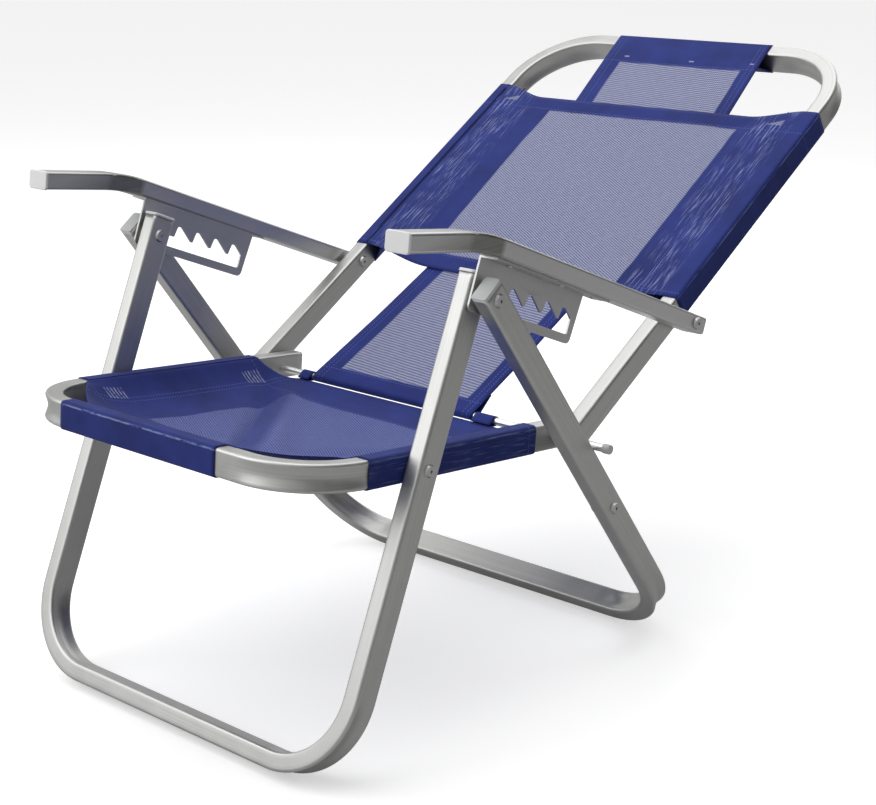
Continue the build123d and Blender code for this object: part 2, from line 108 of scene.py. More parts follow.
class Nodes:
    """Shorthand for building a material's node tree."""

    def __init__(self, name):
        self.material = bpy.data.materials.new(name)
        self.material.use_nodes = True
        self.tree = self.material.node_tree
        self.shader = self.tree.nodes["Principled BSDF"]

    def add(self, kind, **settings):
        node = self.tree.nodes.new(kind)
        for key, value in settings.items():
            setattr(node, key, value)
        return node

    def feed(self, socket, value):
        """Link an output to a socket, or set the socket where the value is a plain number or colour."""
        if isinstance(value, bpy.types.NodeSocket):
            self.tree.links.new(value, socket)
        else:
            socket.default_value = value

    def set(self, **inputs):
        for key, value in inputs.items():
            self.feed(self.shader.inputs[key.replace("_", " ")], value)

    def maths(self, operation, a, b=0.0):
        node = self.add("ShaderNodeMath", operation=operation)
        self.feed(node.inputs[0], a)
        self.feed(node.inputs[1], b)
        return node.outputs[0]

    def plus(self, total, *others):
        for other in others:
            total = self.maths("ADD", total, other)
        return total

    def minus(self, a, b):
        return self.maths("SUBTRACT", a, b)

    def times(self, product, *others):
        for other in others:
            product = self.maths("MULTIPLY", product, other)
        return product

    def wave(self, distance, pitch):
        return self.maths("SINE", self.times(distance, 2 * math.pi / pitch))

    def mix(self, factor, a, b):
        node = self.add("ShaderNodeMix", data_type="RGBA")
        for i, value in ((0, factor), (6, a), (7, b)):
            self.feed(node.inputs[i], value)
        return node.outputs[2]

    def ramp(self, value, low, high):
        """0 at low and 1 at high, straight between them."""
        node = self.add("ShaderNodeMapRange", clamp=True)
        self.feed(node.inputs["Value"], value)
        self.feed(node.inputs["From Min"], low)
        self.feed(node.inputs["From Max"], high)
        return node.outputs["Result"]

    def band(self, value, low, high, soft):
        """1 where value lies between low and high, fading over soft at both edges."""
        rise = self.ramp(value, low - soft, low + soft)
        fall = self.ramp(value, high + soft, high - soft)
        return self.times(rise, fall)

    def noise(self, vector, scale, detail=3.0, rough=0.5):
        node = self.add("ShaderNodeTexNoise")
        self.feed(node.inputs["Scale"], scale)
        self.feed(node.inputs["Detail"], detail)
        self.feed(node.inputs["Roughness"], rough)
        self.feed(node.inputs["Vector"], vector)
        return node.outputs["Fac"]

    def stretched(self, vector, scale):
        node = self.add("ShaderNodeMapping")
        self.feed(node.inputs["Vector"], vector)
        self.feed(node.inputs["Scale"], scale)
        return node.outputs["Vector"]

    def bump(self, height, strength, distance):
        node = self.add("ShaderNodeBump")
        self.feed(node.inputs["Strength"], strength)
        self.feed(node.inputs["Distance"], distance)
        self.feed(node.inputs["Height"], height)
        self.set(Normal=node.outputs["Normal"])


# ---------------------------------------------------------------- camera, light and floor

CAMERA_PLACE = (1.4004, -1.1016 + FRONT_FOOT_Y, 0.9055)
CAMERA_AZIMUTH = 42.29
CAMERA_ELEVATION = 17.17
CAMERA_ROLL = -1.14
CAMERA_LENS = 73.86
SENSOR_WIDTH = 36.0

# The world is brightest in this direction.
SKY_BRIGHT_SIDE = (-0.75, -0.35, 0.56)
SKY_STRENGTH = (0.10, 0.75)
LIGHTS_AIM = (0.0, 0.0, 0.3)
# Each square area light's place, size in metres and power in watts.
AREA_LIGHTS = {
    "key": ((-1.8, -2.4, 2.2), 3.0, 46.0),
    "top": ((-0.3, 0.2, 3.0), 3.0, 38.0),
    "rim": ((-0.6, 2.4, 1.6), 2.4, 20.0),
}
FLOOR_SIZE = 80.0
FLOOR_DROP = 0.8 * MM


def make_camera():
    azimuth = math.radians(CAMERA_AZIMUTH)
    elevation = math.radians(CAMERA_ELEVATION)
    roll = math.radians(CAMERA_ROLL)
    forward = Vector((
        -math.sin(azimuth) * math.cos(elevation),
        math.cos(azimuth) * math.cos(elevation),
        -math.sin(elevation),
    ))
    level_right = Vector((math.cos(azimuth), math.sin(azimuth), 0.0))
    level_up = level_right.cross(forward)
    right = level_right * math.cos(roll) + level_up * math.sin(roll)
    up = level_up * math.cos(roll) - level_right * math.sin(roll)
    data = bpy.data.cameras.new("camera")
    data.sensor_width = SENSOR_WIDTH
    data.lens = CAMERA_LENS
    data.clip_start = 0.05
    data.clip_end = 50.0
    camera = bpy.data.objects.new("camera", data)
    turn = Matrix((right, up, -forward)).transposed().to_4x4()
    camera.matrix_world = Matrix.Translation(CAMERA_PLACE) @ turn
    bpy.context.scene.collection.objects.link(camera)
    bpy.context.scene.camera = camera


def make_world():
    """A plain white surround that is brighter on one side."""
    world = bpy.data.worlds.new("studio")
    world.use_nodes = True
    tree = world.node_tree
    background = tree.nodes["Background"]
    background.inputs["Color"].default_value = rgb(1.0, 1.0, 1.0)
    place = tree.nodes.new("ShaderNodeTexCoord")
    aim = tree.nodes.new("ShaderNodeVectorMath")
    aim.operation = "DOT_PRODUCT"
    aim.inputs[1].default_value = Vector(SKY_BRIGHT_SIDE).normalized()
    tree.links.new(place.outputs["Generated"], aim.inputs[0])
    spread = tree.nodes.new("ShaderNodeMapRange")
    spread.interpolation_type = "SMOOTHSTEP"
    spread.inputs["From Min"].default_value = -0.75
    spread.inputs["From Max"].default_value = 0.85
    spread.inputs["To Min"].default_value = SKY_STRENGTH[0]
    spread.inputs["To Max"].default_value = SKY_STRENGTH[1]
    tree.links.new(aim.outputs["Value"], spread.inputs["Value"])
    tree.links.new(spread.outputs["Result"], background.inputs["Strength"])
    bpy.context.scene.world = world
    bpy.context.scene.view_settings.view_transform = "Standard"


def make_lights():
    for name, (place, size, power) in AREA_LIGHTS.items():
        data = bpy.data.lights.new(name, "AREA")
        data.shape = "SQUARE"
        data.size = size
        data.energy = power
        light = bpy.data.objects.new(name, data)
        light.location = place
        light.rotation_mode = "QUATERNION"
        light.rotation_quaternion = (Vector(LIGHTS_AIM) - Vector(place)).to_track_quat("-Z", "Y")
        bpy.context.scene.collection.objects.link(light)


def make_floor():
    """A floor that is pale to the eye and darker as the chair's metal reflects it."""
    bpy.ops.mesh.primitive_plane_add(size=FLOOR_SIZE, location=(0.0, 0.0, -FLOOR_DROP))
    floor = bpy.context.object
    floor.name = "floor"
    n = Nodes("floor")
    seen = n.add("ShaderNodeLightPath").outputs["Is Camera Ray"]
    glow = n.add("ShaderNodeMapRange")
    n.feed(glow.inputs["Value"], seen)
    n.feed(glow.inputs["To Min"], 0.05)
    n.feed(glow.inputs["To Max"], 0.42)
    n.set(Base_Color=n.mix(seen, rgb(0.42, 0.42, 0.42), rgb(0.80, 0.80, 0.80)), Roughness=0.75)
    n.set(Emission_Color=rgb(1.0, 1.0, 1.0), Emission_Strength=glow.outputs["Result"])
    floor.data.materials.append(n.material)


make_camera()
make_world()
make_lights()
make_floor()

# ---------------------------------------------------------------- hard materials


def aluminium(name, light, dark, roughness, grain=None):
    """Drawn aluminium: fine streaks, cloudy rubbed patches and a painted highlight that brightens the convex
    edges.

    The streaks follow a bent tube's own layer, or the object's axes as grain stretches them.
    """
    n = Nodes(name)
    space = n.add("ShaderNodeTexCoord").outputs["Object"]
    if grain is None:
        tube_place = n.add("ShaderNodeUVMap", uv_map="tube").outputs["UV"]
        stretched = n.stretched(tube_place, (3.0, 900.0, 1.0))
    else:
        stretched = n.stretched(space, grain)
    streaks = n.noise(stretched, 1.0, 4.0, 0.6)
    clouds = n.noise(space, 22.0, 4.0, 0.6)
    pointiness = n.add("ShaderNodeNewGeometry").outputs["Pointiness"]
    # Painted highlight: convex edges are mixed towards near white, for the light that the rounded tube
    # corners catch.
    edge = n.ramp(pointiness, 0.52, 0.58)
    tone = n.plus(n.times(streaks, 0.6), n.times(clouds, 0.4))
    colour = n.mix(n.ramp(tone, 0.32, 0.68), dark, light)
    colour = n.mix(n.times(edge, 0.45), colour, rgb(0.93, 0.93, 0.94))
    n.set(Base_Color=colour, Metallic=1.0, Specular_IOR_Level=0.5)
    n.set(Roughness=n.plus(n.times(n.ramp(clouds, 0.3, 0.75), 0.14), roughness))
    n.bump(n.plus(streaks, n.times(clouds, 0.3)), 0.05, 0.0004)
    return n.material


def plastic(name, colour, shade, roughness=0.42):
    """Moulded plastic with a fine texture and faint scuffs."""
    n = Nodes(name)
    place = n.add("ShaderNodeTexCoord").outputs["Object"]
    mottle = n.noise(place, 90.0)
    scuff = n.ramp(n.noise(n.stretched(place, (40.0, 400.0, 120.0)), 1.0, 5.0, 0.7), 0.55, 0.8)
    tone = n.mix(n.times(mottle, 0.5), colour, shade)
    n.set(Base_Color=n.mix(n.times(scuff, 0.35), tone, shade))
    n.set(Roughness=n.plus(n.times(mottle, 0.2), roughness - 0.1))
    n.bump(n.noise(place, 700.0, 2.0), 0.15, 0.0003)
    return n.material


def steel(name, colour, shade):
    """Zinc-plated rivets: mottled and a little dull."""
    n = Nodes(name)
    place = n.add("ShaderNodeTexCoord").outputs["Object"]
    mottle = n.noise(place, 260.0, 4.0, 0.6)
    n.set(Base_Color=n.mix(n.ramp(mottle, 0.3, 0.7), shade, colour), Metallic=1.0)
    n.set(Roughness=n.plus(n.times(mottle, 0.25), 0.22))
    n.bump(mottle, 0.2, 0.0003)
    return n.material


frame_metal = aluminium("frame_aluminium", rgb(0.59, 0.59, 0.58), rgb(0.43, 0.43, 0.42), 0.38)
# Painted shade: the arms use the frame's aluminium in much darker tones, for the shade that they sit in.
shaded_arm_metal = aluminium(
    "arm_aluminium_painted_shade", rgb(0.30, 0.30, 0.29), rgb(0.20, 0.20, 0.19), 0.30, (900.0, 8.0, 900.0))
plate_metal = aluminium(
    "plate_aluminium", rgb(0.24, 0.24, 0.23), rgb(0.15, 0.15, 0.14), 0.42, (60.0, 400.0, 400.0))
bar_metal = aluminium(
    "bar_aluminium", rgb(0.74, 0.74, 0.74), rgb(0.58, 0.58, 0.58), 0.28, (8.0, 900.0, 900.0))
white_plastic = plastic("white_plastic", rgb(0.78, 0.78, 0.78), rgb(0.68, 0.68, 0.69))
grey_plastic = plastic("grey_plastic", rgb(0.56, 0.57, 0.57), rgb(0.47, 0.48, 0.48))
nylon = plastic("nylon", rgb(0.66, 0.66, 0.63), rgb(0.56, 0.56, 0.53))
rivet_metal = steel("rivet_steel", rgb(0.58, 0.58, 0.58), rgb(0.40, 0.40, 0.40))

node_materials = {
    "front_leg_caps": white_plastic,
    "rear_leg_plugs": grey_plastic,
    "seat_end_plugs": grey_plastic,
    "back_end_plugs": grey_plastic,
    "leg_bolts": rivet_metal,
    "leg_bolt_heads": rivet_metal,
    "seat_rivets": rivet_metal,
    "link_rivets": rivet_metal,
    "arm_pivot_rivets": rivet_metal,
    "leg_bolt_washers": nylon,
    "rear_leg_washers": nylon,
    "seat_washers": nylon,
    "arm_pivot_washers": nylon,
    "hinge_spacers": nylon,
    "hinge_bar": bar_metal,
    "hinge_bar_caps": grey_plastic,
}
for side in ("left", "right"):
    node_materials[side + "_link"] = plate_metal
    node_materials[side + "_arm_tube"] = shaded_arm_metal
    node_materials[side + "_arm_cap"] = white_plastic
    node_materials[side + "_arm_end_plug"] = grey_plastic
    node_materials[side + "_rack"] = plate_metal
    node_materials[side + "_rack_rivets"] = rivet_metal

for name, material in node_materials.items():
    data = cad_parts[name].data
    data.materials.clear()
    data.materials.append(material)

# ---------------------------------------------------------------- shapes


def smooth(t):
    """0 up to 0, 1 from 1 on, and an even curve between."""
    t = np.clip(t, 0.0, 1.0)
    return t * t * (3 - 2 * t)


def even(low, high, step):
    """Numbers from low to high, spaced by about the step."""
    return np.linspace(low, high, max(2, int(round((high - low) / step)) + 1))


def lengths(route):
    """How far along a route each of its points lies."""
    steps = [math.dist(a, b) for a, b in zip(route, route[1:])]
    return np.concatenate([[0.0], np.cumsum(steps)])


def polyline(points, step):
    """Points along a route of straight runs, no further apart than the step."""
    out = [points[0]]
    for a, b in zip(points, points[1:]):
        count = max(1, int(math.ceil(math.dist(a, b) / step)))
        for k in range(1, count + 1):
            out.append((a[0] + (b[0] - a[0]) * k / count, a[1] + (b[1] - a[1]) * k / count))
    return out


def arc(centre, radius, start, end, count=6):
    """Points on an arc, from one angle to another in degrees."""
    angles = np.radians(np.linspace(start, end, count + 1))
    return [(centre[0] + radius * math.cos(a), centre[1] + radius * math.sin(a)) for a in angles]


def grid_mesh(name, points, coords, layer, material, close_across=False):
    """A mesh from a grid of points, rows by columns by xyz, with a coordinate layer in metres."""
    rows, columns = points.shape[:2]
    wrap = columns if close_across else columns - 1
    faces = []
    values = []
    for i in range(rows - 1):
        for j in range(wrap):
            k = (j + 1) % columns
            low, high = i * columns, (i + 1) * columns
            faces.append((low + j, low + k, high + k, high + j))
            for a, b in ((i, j), (i, j + 1), (i + 1, j + 1), (i + 1, j)):
                values += [coords[a, b, 0], coords[a, b, 1]]
    mesh = bpy.data.meshes.new(name)
    mesh.from_pydata(points.reshape(-1, 3).tolist(), [], faces)
    mesh.uv_layers.new(name=layer).data.foreach_set("uv", values)
    for polygon in mesh.polygons:
        polygon.use_smooth = True
    mesh.materials.append(material)
    piece = bpy.data.objects.new(name, mesh)
    bpy.context.scene.collection.objects.link(piece)
    return piece


# ---------------------------------------------------------------- bent tubes

STRAIGHT_STEP = 30 * MM
END_MARKS = (6 * MM, 12 * MM, 20 * MM)
BEND_STEPS = 22
CORNER_STEPS, WIDE_STEPS, DEEP_STEPS = 5, 4, 12
BEND_SINK = 3.0 * MM
SINK_MARGIN = 2.8 * MM
SINK_FADE = 30 * MM


def tube_ring(width, depth, corner):
    """Points round a rounded rectangle, as (across, deep) rows."""
    half_w, half_d = width / 2, depth / 2
    inner_w, inner_d = half_w - corner, half_d - corner
    quarters = (
        (1, 1, WIDE_STEPS, (-inner_w, half_d)),
        (-1, 1, DEEP_STEPS, (-half_w, -inner_d)),
        (-1, -1, WIDE_STEPS, (inner_w, -half_d)),
        (1, -1, DEEP_STEPS, (half_w, inner_d)),
    )
    ring = []
    for quarter, (sx, sy, steps, (bx, by)) in enumerate(quarters):
        ring += arc((sx * inner_w, sy * inner_d), corner, 90 * quarter, 90 * quarter + 90, CORNER_STEPS)
        ax, ay = ring[-1]
        ring += [(ax + (bx - ax) * k / steps, ay + (by - ay) * k / steps) for k in range(1, steps)]
    return np.array(ring)


def straight_run(a, b):
    """Points and their direction along a straight stretch, closer together at its ends."""
    length = math.dist(a, b)
    t = ((b[0] - a[0]) / length, (b[1] - a[1]) / length)
    marks = set(np.linspace(0, length, max(3, int(length / STRAIGHT_STEP))).tolist())
    for mark in END_MARKS:
        marks |= {min(length, mark), max(0.0, length - mark)}
    return [((a[0] + t[0] * m, a[1] + t[1] * m), t) for m in sorted(marks)]


def u_route(half_width, ends, cross, radius):
    """A U's centre line as points and directions: along one leg, across and back down the other."""
    sign = 1 if cross > ends else -1
    corner_y = cross - sign * radius
    turns = [math.pi / 2 * k / BEND_STEPS for k in range(1, BEND_STEPS)]
    route = straight_run((-half_width, ends), (-half_width, corner_y))
    for a in turns:
        point = (-half_width + radius * (1 - math.cos(a)), corner_y + sign * radius * math.sin(a))
        route.append((point, (math.sin(a), sign * math.cos(a))))
    route += straight_run((-half_width + radius, cross), (half_width - radius, cross))
    for a in turns:
        point = (half_width - radius * (1 - math.sin(a)), cross - sign * radius * (1 - math.cos(a)))
        route.append((point, (math.cos(a), -sign * math.sin(a))))
    return route + straight_run((half_width, corner_y), (half_width, ends))


def cap_ends(piece, columns):
    """Close a tube's two open ends with one flat face each, and make all faces point outwards."""
    work = bmesh.new()
    work.from_mesh(piece.data)
    verts = list(work.verts)
    work.faces.new(verts[:columns])
    work.faces.new(verts[-columns:])
    bmesh.ops.recalc_face_normals(work, faces=work.faces)
    work.to_mesh(piece.data)
    work.free()


def bent_tube(name, plane, half_width, ends, cross, radius, node, body):
    """The visible frame: the tube's wide faces sink inwards round each bend, as pressed bends do."""
    route = u_route(half_width, ends, cross, radius)
    leg = abs(cross - ends) - radius
    bend = radius * math.pi / 2
    far_leg = leg + 2 * bend + 2 * (half_width - radius)
    bends = [(leg, leg + bend), (far_leg - bend, far_leg)]
    ring = tube_ring(TUBE_WIDTH, TUBE_DEPTH, TUBE_ROUND)
    perimeter = lengths([*ring, ring[0]])
    hollow = np.cos(np.clip(ring[:, 1] / (TUBE_DEPTH / 2 - SINK_MARGIN), -1, 1) * math.pi / 2) ** 1.2
    wide_face = np.abs(ring[:, 0]) > TUBE_WIDTH / 2 - 1e-6
    dent = np.sign(ring[:, 0]) * np.where(wide_face, hollow, 0.0) * BEND_SINK
    early = SINK_FADE * 0.4
    points, coords = [], []
    for (centre, direction), run in zip(route, lengths([point for point, _ in route])):
        amount = max(
            smooth((run - low + early) / SINK_FADE) * smooth((high - run + early) / SINK_FADE)
            for low, high in bends)
        across = ring[:, 0] - dent * amount
        x = centre[0] + direction[1] * across
        y = centre[1] - direction[0] * across
        points.append(plane.point(x, y, ring[:, 1]))
        coords.append(np.stack([np.full(len(perimeter), run), perimeter], axis=-1))
    piece = grid_mesh(name, np.array(points), np.array(coords), "tube", frame_metal, close_across=True)
    cap_ends(piece, len(ring))
    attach(piece, body)
    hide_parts(node)


bent_tube("front_leg_tube", FRONT_LEG_PLANE, FRONT_LEG_HALF, FRONT_LEG_ENDS, FRONT_LEG_CROSS, LEG_BEND,
          "front_leg_frame", "front_legs")
bent_tube("rear_leg_tube", REAR_LEG_PLANE, REAR_LEG_HALF, REAR_LEG_ENDS, REAR_LEG_CROSS, LEG_BEND,
          "rear_leg_frame", "rear_legs")
bent_tube("seat_tube", SEAT_PLANE, SEAT_HALF, SEAT_ENDS, SEAT_CROSS, SEAT_BEND, "seat_frame", "seat")
bent_tube("back_tube", BACK_PLANE, BACK_HALF, BACK_ENDS, BACK_CROSS, BACK_BEND, "back_frame", "back")

# ---------------------------------------------------------------- cloth material

# Dark and light threads of the open mesh.
PALE_THREADS = (rgb(0.056, 0.072, 0.237), rgb(0.37, 0.382, 0.46))
BLUE_THREADS = (rgb(0.0155, 0.027, 0.196), rgb(0.154, 0.185, 0.378))
BORDER_SHADES = (rgb(0.0090, 0.0165, 0.115), rgb(0.0165, 0.031, 0.195))
BORDER_GRAIN = rgb(0.05, 0.08, 0.33)
WORN_THREADS = rgb(0.28, 0.32, 0.56)
# Colour of fabric rubbed thin over the tube corners, which also serves as a painted highlight there.
RUBBED_EDGE_AND_HIGHLIGHT = rgb(0.30, 0.36, 0.60)
STITCH = rgb(0.10, 0.13, 0.42)
PALE_MARK = rgb(0.55, 0.58, 0.80)
CLOSE_PITCH = 1.6 * MM
STITCH_PITCH = 4.2 * MM


class Cloth(Nodes):
    """Woven mesh cloth: an open striped middle, solid borders, stitched hems, wear and a painted highlight
    along the tube corners.

    The layer "cloth" holds each point's place on the sheet: u across it and v along it, in metres.
    """

    def __init__(self, name):
        super().__init__(name)
        self.place = self.add("ShaderNodeUVMap", uv_map="cloth").outputs["UV"]
        split = self.add("ShaderNodeSeparateXYZ")
        self.feed(split.inputs[0], self.place)
        self.u, self.v = split.outputs[0], split.outputs[1]
        self.off = self.maths("ABSOLUTE", self.u)
        self.wobble = self.times(self.minus(self.noise(self.place, 18.0, 2.0), 0.5), 0.004)

    def ragged(self, scale, low, high, detail=2.0, rough=0.6):
        """Broken streaks: stretched noise that is 0 under low and 1 over high."""
        return self.ramp(self.noise(self.stretched(self.place, scale), 1.0, detail, rough), low, high)

    def open_zone(self, half, middle, low, high, folds=()):
        """1 on the open mesh and 0 on the borders, and less along each fold line, where the cloth turns to
        the darker border colour.
        """
        from_middle = self.maths("ABSOLUTE", self.minus(self.u, middle))
        inside_u = self.ramp(self.plus(from_middle, self.wobble), half + 0.0012, half - 0.0012)
        inside_v = self.band(self.plus(self.v, self.wobble), low, high, 0.0014)
        zone = self.times(inside_u, inside_v)
        for (ax, ay), (bx, by), width in folds:
            length = math.hypot(bx - ax, by - ay)
            nx, ny = (by - ay) / length, (ax - bx) / length
            aside = self.plus(self.times(self.u, nx), self.times(self.v, ny))
            aside = self.maths("ABSOLUTE", self.minus(aside, ax * nx + ay * ny))
            keep = self.ramp(self.plus(aside, self.wobble), width * 0.6, width * 1.5)
            zone = self.times(zone, self.plus(self.times(keep, 0.75), 0.25))
        return zone

    def open_weave(self, angle, pitch, threads):
        """The open mesh's colour and relief: slanted stripes, cross threads and uneven yarn."""
        sine, cosine = math.sin(math.radians(angle)), math.cos(math.radians(angle))
        along_threads = self.plus(self.times(self.u, sine), self.times(self.v, cosine))
        cross_threads = self.minus(self.times(self.u, cosine), self.times(self.v, sine))
        bend = self.times(self.noise(self.place, 60.0, 2.0), 0.0016)
        stripe = self.wave(self.plus(along_threads, bend), pitch)
        rib = self.wave(cross_threads, pitch * 0.8)
        yarn = self.minus(self.noise(self.stretched(self.place, (90.0, 900.0, 1.0)), 1.0, 3.0, 0.6), 0.5)
        tone = self.plus(self.times(stripe, 0.34), self.times(rib, 0.20), self.times(yarn, 0.7))
        return self.mix(self.ramp(tone, -0.45, 0.45), *threads), self.plus(stripe, rib)

    def border(self, edge_u=0.2585, edge_v=None, worn_band=(0.176, 0.232), worn_share=0.68):
        """The borders' colour and relief: close weave, pulled threads, and rubbed edges along the tube
        corners that also carry a painted highlight.
        """
        grain = self.times(self.plus(self.wave(self.u, CLOSE_PITCH), self.wave(self.v, CLOSE_PITCH)), 0.5)
        colour = self.mix(self.ramp(self.noise(self.place, 14.0, 4.0, 0.6), 0.3, 0.7), *BORDER_SHADES)
        colour = self.mix(self.times(self.ramp(grain, 0.3, 1.0), 0.16), colour, BORDER_GRAIN)
        pulled = self.ragged((520.0, 22.0, 1.0), 0.53, 0.64, 3.0, 0.65)
        patches = self.ramp(self.noise(self.place, 24.0, 2.0), 0.32, 0.52)
        worn = self.times(pulled, patches, self.band(self.off, *worn_band, 0.006))
        colour = self.mix(self.times(worn, worn_share), colour, WORN_THREADS)
        # Rubbed edge and painted highlight: a dashed light line on the sleeve over the side tube's corner,
        # partly fabric stretched thin, partly painted highlight.
        rubbed = self.ragged((500.0, 30.0, 1.0), 0.40, 0.62)
        side_edge = self.times(self.band(self.off, edge_u - 0.0006, edge_u + 0.0010, 0.0006), rubbed)
        colour = self.mix(self.times(side_edge, 0.5), colour, RUBBED_EDGE_AND_HIGHLIGHT)
        if edge_v is not None:
            # The same rubbed edge and painted highlight, over the front bar's corner.
            rubbed = self.ragged((90.0, 500.0, 1.0), 0.36, 0.56)
            end_edge = self.times(self.band(self.v, edge_v - 0.0008, edge_v + 0.0008, 0.0006), rubbed)
            colour = self.mix(self.times(end_edge, 0.6), colour, RUBBED_EDGE_AND_HIGHLIGHT)
        return colour, grain

    def stitches(self, hems):
        """1 on dotted lines of sewing, each at a distance across ("u") or along ("v") the sheet."""
        dots = self.ramp(self.wave(self.plus(self.u, self.v), STITCH_PITCH), -0.2, 0.3)
        sewn = 0.0
        for axis, value in hems:
            line = self.band(self.off if axis == "u" else self.v, value - 0.0005, value + 0.0005, 0.0003)
            sewn = self.maths("MAXIMUM", sewn, self.times(line, dots))
        return sewn

    def spot(self, axis, u, v, half_u, half_v):
        """1 on a small rectangle of the sheet."""
        across = self.band(axis, u - half_u, u + half_u, 0.0004)
        return self.times(across, self.band(self.v, v - half_v, v + half_v, 0.0004))

    def comb(self, u, v, half_u, half_v, pitch):
        """1 on the ragged teeth of a bar tack, at the same place on both sides of the sheet."""
        teeth = self.ramp(self.wave(self.v, pitch), 0.0, 0.6)
        broken = self.ragged((160.0, 260.0, 1.0), 0.34, 0.56, rough=0.5)
        return self.times(self.spot(self.off, u, v, half_u, half_v), teeth, broken)

    def wedge(self, tip, base, low, rise):
        """1 on a thin wedge that grows from its tip to its base."""
        climb = self.times(self.minus(self.u, tip), rise / (base - tip))
        above = self.ramp(self.minus(self.v, low), 0.0, 0.0008)
        below = self.ramp(self.minus(self.plus(climb, low), self.v), 0.0, 0.0008)
        return self.times(above, below, self.band(self.u, min(tip, base), max(tip, base), 0.0006))


def fabric(name, zone, weave, border, hems, spots=(), combs=(), wedges=()):
    """A sheet's material, from the places of its mesh, hems and marks in metres."""
    n = Cloth(name)
    inside = n.open_zone(**zone)
    open_colour, open_relief = n.open_weave(*weave)
    solid_colour, solid_relief = n.border(**border)
    sewn = n.stitches(hems)
    colour = n.mix(inside, solid_colour, open_colour)
    colour = n.mix(n.times(sewn, 0.7), colour, STITCH)
    for mark in [n.spot(n.u, *place) for place in spots] + [n.comb(*place) for place in combs]:
        colour = n.mix(n.times(mark, 0.45), colour, PALE_MARK)
    for place in wedges:
        colour = n.mix(n.times(n.wedge(*place), 0.75), colour, open_colour)
    n.set(Base_Color=colour, Roughness=0.75, Specular_IOR_Level=0.18, Sheen_Weight=0.04)
    relief = n.plus(n.times(solid_relief, 0.35), n.times(open_relief, inside))
    n.bump(n.minus(relief, n.times(sewn, 1.5)), 0.35, 0.0005)
    return n.material


# ---------------------------------------------------------------- cloth shapes
# Heights are square to a frame's plane. A sheet's middle lies COVER outside the tube that it wraps.

THICK = 0.9 * MM
COVER = 0.4 * MM + THICK / 2
TOP = TUBE_DEPTH / 2 + COVER
FLAT = TUBE_WIDTH / 2 - TUBE_ROUND
BAR_WRAP = 5.25 * MM
ROUTE_STEP = 5 * MM


def wrap_route(flap_end):
    """Route of cloth round a tube: over the top, down the outside, under it and back to the sheet."""
    r = TUBE_ROUND + COVER
    cy = TUBE_DEPTH / 2 - TUBE_ROUND
    lean = math.degrees(math.atan2(flap_end[1] + TOP, flap_end[0] + FLAT))
    route = [(-FLAT, TOP), (0.0, TOP)]
    route += arc((FLAT, cy), r, 90, 0)
    route += arc((FLAT, -cy), r, 0, -90)
    route += arc((-FLAT, -cy), r, -90, lean - 270 if lean > 0 else -90)
    route.append(flap_end)
    return polyline(route, ROUTE_STEP)


def ridge(x, y, start, end, width, height):
    """A soft crease along a line: height is negative for a valley. It dies away towards both ends."""
    sx, sy = start
    dx, dy = end[0] - sx, end[1] - sy
    length = math.hypot(dx, dy)
    t = ((x - sx) * dx + (y - sy) * dy) / length ** 2
    off = np.abs((x - sx) * dy - (y - sy) * dx) / length
    fade = smooth(t / 0.25) * smooth((1 - t) / 0.35)
    return height * np.exp(-(off / width) ** 2) * fade


def columns_between(inner, outer, fine, coarse):
    """Columns across a sheet, closer together near its sides."""
    near = even(inner, outer, fine)
    return np.concatenate([-near[::-1], even(-inner, inner, coarse)[1:-1], near])


def cloth_grid(name, plane, x, y, height, u, v, material):
    """A grid of cloth over a frame's plane. Numbers for one row or one column spread over the grid."""
    x, y, height, u, v = np.broadcast_arrays(x, y, height, u, v)
    return grid_mesh(name, plane.point(x, y, height), np.stack([u, v], -1), "cloth", material)


def side_sleeves(plane, half, edge, rows, route, material):
    """A sheet's two sides, wrapped round the side tubes."""
    out, height = np.array(route).T
    run = lengths(route)
    rows = rows[:, None]
    return [
        cloth_grid("sleeve", plane, side * (half + out), rows, height, side * (edge + run), rows, material)
        for side in (-1, 1)
    ]


def join_pieces(name, parts):
    """One mesh from several grids, with the vertices that they share merged."""
    work = bmesh.new()
    for part in parts:
        work.from_mesh(part.data)
    bmesh.ops.remove_doubles(work, verts=work.verts, dist=0.00002)
    mesh = bpy.data.meshes.new(name)
    work.to_mesh(mesh)
    work.free()
    mesh.materials.append(parts[0].data.materials[0])
    for part in parts:
        bpy.data.objects.remove(part)
    piece = bpy.data.objects.new(name, mesh)
    bpy.context.scene.collection.objects.link(piece)
    return piece


def finish_cloth(piece, body, node):
    solid = piece.modifiers.new("cloth", "SOLIDIFY")
    solid.thickness = THICK
    solid.offset = 0.0
    solid.use_even_offset = False
    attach(piece, body)
    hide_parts(node)


# ---------------------------------------------------------------- back panel
# One sheet across the back, its sides sleeved round the side tubes.

BACK_EDGE = BACK_HALF - FLAT
BAND_FALL = (TOP - BAR_WRAP) / (BACK_CROSS - FLAT)


def band_height(s):
    """Height of the headrest band over the back frame's plane."""
    return BAR_WRAP + BAND_FALL * s


def panel_height(x, s):
    """The panel sags onto the band in its middle, with a light ripple and pulled corners."""
    sag = (TOP - band_height(s) - 1.5 * MM) * (1 - (x / BACK_EDGE) ** 2)
    ripple = 0.5 * MM * np.sin(s / 0.043 + 3 * x / 0.24) * smooth((BACK_EDGE - np.abs(x)) / 0.05)
    pull = ridge(np.abs(x), s, (0.238, 0.566), (0.10, 0.50), 0.010, -1.2 * MM)
    pull = pull + ridge(np.abs(x), s, (0.238, 0.226), (0.11, 0.30), 0.012, -1.4 * MM)
    height = np.maximum(TOP - sag + ripple + pull, band_height(s) + 1.3 * MM)
    return np.where(np.abs(x) > BACK_EDGE - 1e-6, TOP, height)


def panel_top(x):
    return (550.0 + 20.0 * smooth((np.abs(x) / MM - 165.0) / 78.0)) * MM


def panel_bottom(x):
    return (204.0 + 18.0 * smooth((np.abs(x) / MM - 120.0) / 115.0)) * MM


